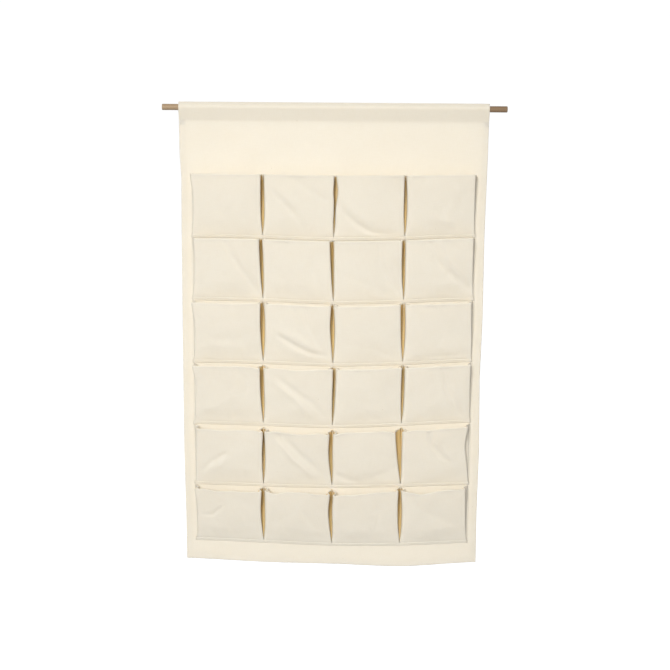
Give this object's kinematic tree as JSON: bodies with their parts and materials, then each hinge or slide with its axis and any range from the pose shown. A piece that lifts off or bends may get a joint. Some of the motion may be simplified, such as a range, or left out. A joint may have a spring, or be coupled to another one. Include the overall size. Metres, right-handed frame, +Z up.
{
  "type": "hanging shoe organizer",
  "caption": "Canvas sheet with rows of open-topped bellows pockets for shoes, hung from a round wooden dowel through a sewn sleeve along its top edge.",
  "frame": {"origin": "on the dowel's axis, midway along it, where the organizer hangs", "axes": "+X along the dowel to the viewer's right, pockets open towards +Z and face -Y, +Z up"},
  "size_m": [0.73, 0.0409, 1.0325],
  "materials": {
    "canvas": "plain-weave natural cotton canvas",
    "wood": "bare sanded hardwood",
    "thread": "natural cotton sewing thread"
  },
  "bodies": {
    "rod": {"dowel": "wood"},
    "sleeve": {"hanging_sleeve": "canvas", "sleeve_thread": "thread"},
    "panel": {"back_panel": "canvas", "row_1_sewn_edge": "canvas", "row_2_sewn_edge": "canvas", "row_3_sewn_edge": "canvas", "row_4_sewn_edge": "canvas", "row_5_sewn_edge": "canvas", "row_6_sewn_edge": "canvas", "hem_thread": "thread", "bar_tacks": "thread"},
    "pocket_r1c1": {"pocket_r1c1": "canvas"},
    "pocket_r1c2": {"pocket_r1c2": "canvas"},
    "pocket_r1c3": {"pocket_r1c3": "canvas"},
    "pocket_r1c4": {"pocket_r1c4": "canvas"},
    "pocket_r2c1": {"pocket_r2c1": "canvas"},
    "pocket_r2c2": {"pocket_r2c2": "canvas"},
    "pocket_r2c3": {"pocket_r2c3": "canvas"},
    "pocket_r2c4": {"pocket_r2c4": "canvas"},
    "pocket_r3c1": {"pocket_r3c1": "canvas"},
    "pocket_r3c2": {"pocket_r3c2": "canvas"},
    "pocket_r3c3": {"pocket_r3c3": "canvas"},
    "pocket_r3c4": {"pocket_r3c4": "canvas"},
    "pocket_r4c1": {"pocket_r4c1": "canvas"},
    "pocket_r4c2": {"pocket_r4c2": "canvas"},
    "pocket_r4c3": {"pocket_r4c3": "canvas"},
    "pocket_r4c4": {"pocket_r4c4": "canvas"},
    "pocket_r5c1": {"pocket_r5c1": "canvas"},
    "pocket_r5c2": {"pocket_r5c2": "canvas"},
    "pocket_r5c3": {"pocket_r5c3": "canvas"},
    "pocket_r5c4": {"pocket_r5c4": "canvas"},
    "pocket_r6c1": {"pocket_r6c1": "canvas"},
    "pocket_r6c2": {"pocket_r6c2": "canvas"},
    "pocket_r6c3": {"pocket_r6c3": "canvas"},
    "pocket_r6c4": {"pocket_r6c4": "canvas"}
  },
  "joints": [
    {"name": "sleeve_slide", "type": "slide", "parent": "rod", "child": "sleeve", "axis": [1, 0, 0], "range_m": [-0.69, 0.69]},
    {"name": "panel_swing", "type": "hinge", "parent": "sleeve", "child": "panel", "pos_m": [0, 0, -0.038], "axis": [1, 0, 0], "range_deg": [-80, 80]},
    {"name": "pocket_r1c1_open", "type": "hinge", "parent": "panel", "child": "pocket_r1c1", "pos_m": [-0.2295, -0.001, -0.274], "axis": [1, 0, 0], "range_deg": [0, 12], "stiffness_Nm_per_rad": 0.06, "springref_deg": -5.73},
    {"name": "pocket_r1c2_open", "type": "hinge", "parent": "panel", "child": "pocket_r1c2", "pos_m": [-0.0765, -0.001, -0.274], "axis": [1, 0, 0], "range_deg": [0, 12], "stiffness_Nm_per_rad": 0.06, "springref_deg": -5.73},
    {"name": "pocket_r1c3_open", "type": "hinge", "parent": "panel", "child": "pocket_r1c3", "pos_m": [0.0765, -0.001, -0.274], "axis": [1, 0, 0], "range_deg": [0, 12], "stiffness_Nm_per_rad": 0.06, "springref_deg": -5.73},
    {"name": "pocket_r1c4_open", "type": "hinge", "parent": "panel", "child": "pocket_r1c4", "pos_m": [0.2295, -0.001, -0.274], "axis": [1, 0, 0], "range_deg": [0, 12], "stiffness_Nm_per_rad": 0.06, "springref_deg": -5.73},
    {"name": "pocket_r2c1_open", "type": "hinge", "parent": "panel", "child": "pocket_r2c1", "pos_m": [-0.2295, -0.001, -0.412], "axis": [1, 0, 0], "range_deg": [0, 12], "stiffness_Nm_per_rad": 0.06, "springref_deg": -5.73},
    {"name": "pocket_r2c2_open", "type": "hinge", "parent": "panel", "child": "pocket_r2c2", "pos_m": [-0.0765, -0.001, -0.412], "axis": [1, 0, 0], "range_deg": [0, 12], "stiffness_Nm_per_rad": 0.06, "springref_deg": -5.73},
    {"name": "pocket_r2c3_open", "type": "hinge", "parent": "panel", "child": "pocket_r2c3", "pos_m": [0.0765, -0.001, -0.412], "axis": [1, 0, 0], "range_deg": [0, 12], "stiffness_Nm_per_rad": 0.06, "springref_deg": -5.73},
    {"name": "pocket_r2c4_open", "type": "hinge", "parent": "panel", "child": "pocket_r2c4", "pos_m": [0.2295, -0.001, -0.412], "axis": [1, 0, 0], "range_deg": [0, 12], "stiffness_Nm_per_rad": 0.06, "springref_deg": -5.73},
    {"name": "pocket_r3c1_open", "type": "hinge", "parent": "panel", "child": "pocket_r3c1", "pos_m": [-0.2295, -0.001, -0.55], "axis": [1, 0, 0], "range_deg": [0, 12], "stiffness_Nm_per_rad": 0.06, "springref_deg": -5.73},
    {"name": "pocket_r3c2_open", "type": "hinge", "parent": "panel", "child": "pocket_r3c2", "pos_m": [-0.0765, -0.001, -0.55], "axis": [1, 0, 0], "range_deg": [0, 12], "stiffness_Nm_per_rad": 0.06, "springref_deg": -5.73},
    {"name": "pocket_r3c3_open", "type": "hinge", "parent": "panel", "child": "pocket_r3c3", "pos_m": [0.0765, -0.001, -0.55], "axis": [1, 0, 0], "range_deg": [0, 12], "stiffness_Nm_per_rad": 0.06, "springref_deg": -5.73},
    {"name": "pocket_r3c4_open", "type": "hinge", "parent": "panel", "child": "pocket_r3c4", "pos_m": [0.2295, -0.001, -0.55], "axis": [1, 0, 0], "range_deg": [0, 12], "stiffness_Nm_per_rad": 0.06, "springref_deg": -5.73},
    {"name": "pocket_r4c1_open", "type": "hinge", "parent": "panel", "child": "pocket_r4c1", "pos_m": [-0.2295, -0.001, -0.688], "axis": [1, 0, 0], "range_deg": [0, 12], "stiffness_Nm_per_rad": 0.06, "springref_deg": -5.73},
    {"name": "pocket_r4c2_open", "type": "hinge", "parent": "panel", "child": "pocket_r4c2", "pos_m": [-0.0765, -0.001, -0.688], "axis": [1, 0, 0], "range_deg": [0, 12], "stiffness_Nm_per_rad": 0.06, "springref_deg": -5.73},
    {"name": "pocket_r4c3_open", "type": "hinge", "parent": "panel", "child": "pocket_r4c3", "pos_m": [0.0765, -0.001, -0.688], "axis": [1, 0, 0], "range_deg": [0, 12], "stiffness_Nm_per_rad": 0.06, "springref_deg": -5.73},
    {"name": "pocket_r4c4_open", "type": "hinge", "parent": "panel", "child": "pocket_r4c4", "pos_m": [0.2295, -0.001, -0.688], "axis": [1, 0, 0], "range_deg": [0, 12], "stiffness_Nm_per_rad": 0.06, "springref_deg": -5.73},
    {"name": "pocket_r5c1_open", "type": "hinge", "parent": "panel", "child": "pocket_r5c1", "pos_m": [-0.2295, -0.001, -0.826], "axis": [1, 0, 0], "range_deg": [0, 12], "stiffness_Nm_per_rad": 0.06, "springref_deg": -5.73},
    {"name": "pocket_r5c2_open", "type": "hinge", "parent": "panel", "child": "pocket_r5c2", "pos_m": [-0.0765, -0.001, -0.826], "axis": [1, 0, 0], "range_deg": [0, 12], "stiffness_Nm_per_rad": 0.06, "springref_deg": -5.73},
    {"name": "pocket_r5c3_open", "type": "hinge", "parent": "panel", "child": "pocket_r5c3", "pos_m": [0.0765, -0.001, -0.826], "axis": [1, 0, 0], "range_deg": [0, 12], "stiffness_Nm_per_rad": 0.06, "springref_deg": -5.73},
    {"name": "pocket_r5c4_open", "type": "hinge", "parent": "panel", "child": "pocket_r5c4", "pos_m": [0.2295, -0.001, -0.826], "axis": [1, 0, 0], "range_deg": [0, 12], "stiffness_Nm_per_rad": 0.06, "springref_deg": -5.73},
    {"name": "pocket_r6c1_open", "type": "hinge", "parent": "panel", "child": "pocket_r6c1", "pos_m": [-0.2295, -0.001, -0.964], "axis": [1, 0, 0], "range_deg": [0, 12], "stiffness_Nm_per_rad": 0.06, "springref_deg": -5.73},
    {"name": "pocket_r6c2_open", "type": "hinge", "parent": "panel", "child": "pocket_r6c2", "pos_m": [-0.0765, -0.001, -0.964], "axis": [1, 0, 0], "range_deg": [0, 12], "stiffness_Nm_per_rad": 0.06, "springref_deg": -5.73},
    {"name": "pocket_r6c3_open", "type": "hinge", "parent": "panel", "child": "pocket_r6c3", "pos_m": [0.0765, -0.001, -0.964], "axis": [1, 0, 0], "range_deg": [0, 12], "stiffness_Nm_per_rad": 0.06, "springref_deg": -5.73},
    {"name": "pocket_r6c4_open", "type": "hinge", "parent": "panel", "child": "pocket_r6c4", "pos_m": [0.2295, -0.001, -0.964], "axis": [1, 0, 0], "range_deg": [0, 12], "stiffness_Nm_per_rad": 0.06, "springref_deg": -5.73}
  ]
}
